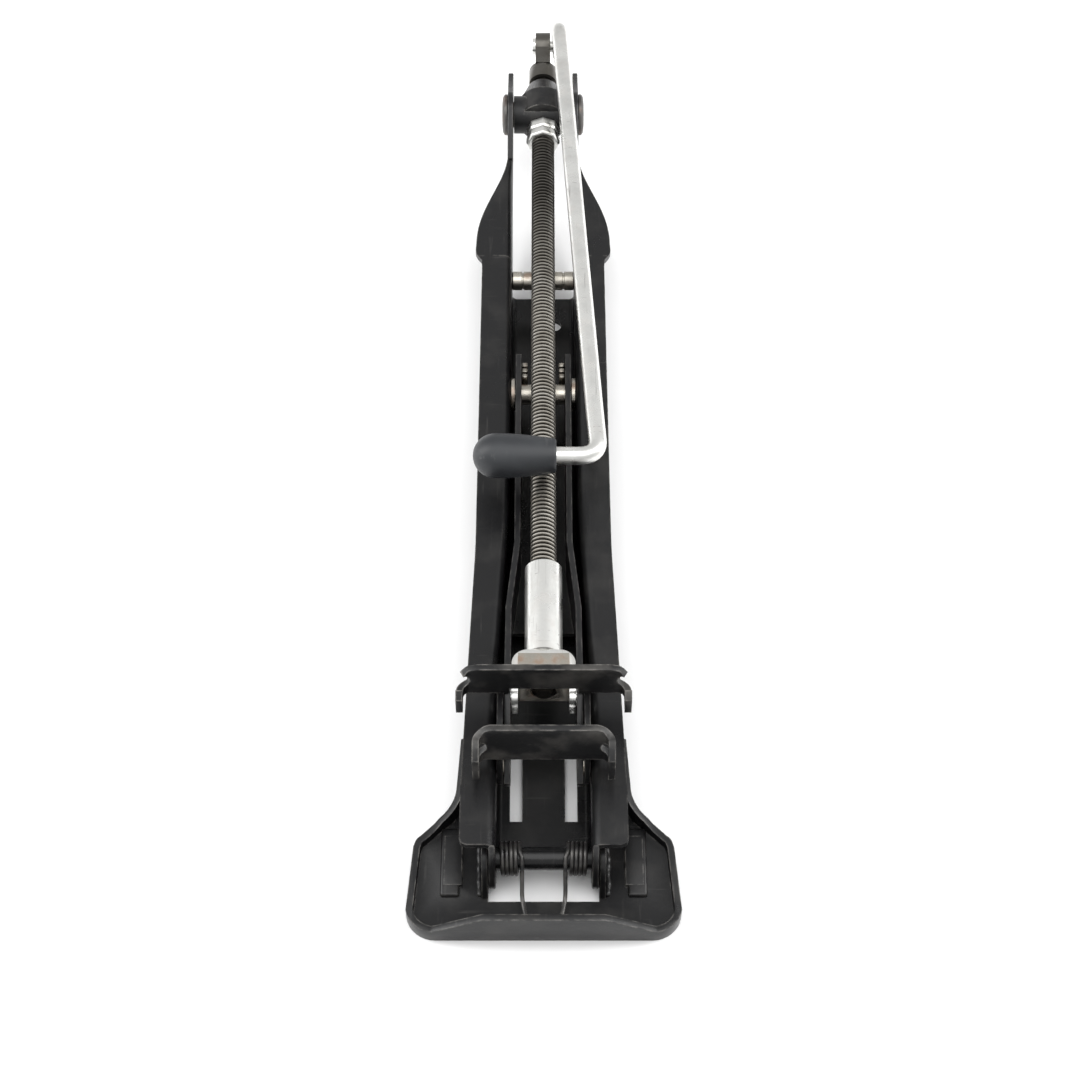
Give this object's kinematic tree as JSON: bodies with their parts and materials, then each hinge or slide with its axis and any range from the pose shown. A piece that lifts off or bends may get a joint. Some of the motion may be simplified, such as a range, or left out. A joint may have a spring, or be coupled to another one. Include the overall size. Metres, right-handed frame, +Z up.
{
  "type": "side-lift car jack",
  "caption": "Side-lift screw jack folded flat, with a hinged foot, a lifting arm with a slotted sill saddle, a screw and a folding crank.",
  "frame": {"origin": "middle of the folded jack's box, on the ground it lies on", "axes": "+X across the jack to the right seen from the foot, +Y along the leg from the foot to the crank, +Z up, away from the ground the folded jack lies on"},
  "size_m": [0.1186, 0.5254, 0.0695],
  "materials": {
    "black_enamel": "semi-gloss black dip enamel on pressed steel",
    "zinc_plate": "bright zinc plate, slightly worn",
    "bare_steel": "rolled and oiled steel",
    "spring_steel": "oil-blackened spring wire",
    "grip_plastic": "matt moulded plastic"
  },
  "bodies": {
    "leg": {"main_leg": "black_enamel", "leg_cross_pin": "zinc_plate", "arm_hinge_pin": "zinc_plate", "arm_spacers": "bare_steel", "foot_hinge_pin": "black_enamel", "trunnion_rivets": "zinc_plate"},
    "foot": {"foot_plate": "black_enamel", "foot_ears": "black_enamel", "foot_springs": "spring_steel"},
    "arm": {"lifting_arm": "black_enamel", "arm_teeth": "zinc_plate", "saddle_studs": "zinc_plate", "nut_studs": "zinc_plate"},
    "saddle": {"saddle_cradle": "black_enamel", "rear_jaw": "black_enamel", "front_jaw": "black_enamel"},
    "nut": {"nut_bracket": "zinc_plate", "screw_nut": "bare_steel", "spacer_sleeve": "zinc_plate"},
    "trunnion": {"trunnion_block": "black_enamel"},
    "screw": {"screw": "bare_steel", "screw_eye": "bare_steel", "thrust_collar": "zinc_plate", "crank_rivet": "zinc_plate"},
    "crank": {"crank_rod": "zinc_plate"},
    "grip": {"crank_grip": "grip_plastic"}
  },
  "joints": [
    {"name": "foot_hinge", "type": "hinge", "parent": "leg", "child": "foot", "pos_m": [0, -0.23075, 0.014], "axis": [-1, 0, 0], "range_deg": [0, 90]},
    {"name": "arm_hinge", "type": "hinge", "parent": "leg", "child": "arm", "pos_m": [0, 0.01975, 0.026], "axis": [-1, 0, 0], "range_deg": [0, 70]},
    {"name": "saddle_tilt", "type": "hinge", "parent": "arm", "child": "saddle", "pos_m": [0, -0.19275, 0.028], "axis": [1, 0, 0], "range_deg": [0, 12]},
    {"name": "nut_swivel", "type": "hinge", "parent": "arm", "child": "nut", "pos_m": [0, -0.16475, 0.04], "axis": [-1, 0, 0], "range_deg": [-36, 1]},
    {"name": "trunnion_swivel", "type": "hinge", "parent": "leg", "child": "trunnion", "pos_m": [0, 0.20425, 0.04], "axis": [-1, 0, 0], "range_deg": [-1, 36]},
    {"name": "screw_turn", "type": "hinge", "parent": "trunnion", "child": "screw", "pos_m": [0, 0.20425, 0.04], "axis": [0, 1, 0], "range_deg": [-8, 8]},
    {"name": "crank_fold", "type": "hinge", "parent": "screw", "child": "crank", "pos_m": [0, 0.25525, 0.043], "axis": [-1, 0, 0], "range_deg": [0, 170]},
    {"name": "grip_spin", "type": "hinge", "parent": "crank", "child": "grip", "pos_m": [0, -0.04475, 0.059], "axis": [1, 0, 0], "continuous": true}
  ],
  "couplings": [
    {"joint": "nut_swivel", "follows": "arm_hinge", "ratio": -0.5},
    {"joint": "trunnion_swivel", "follows": "arm_hinge", "ratio": 0.5}
  ]
}
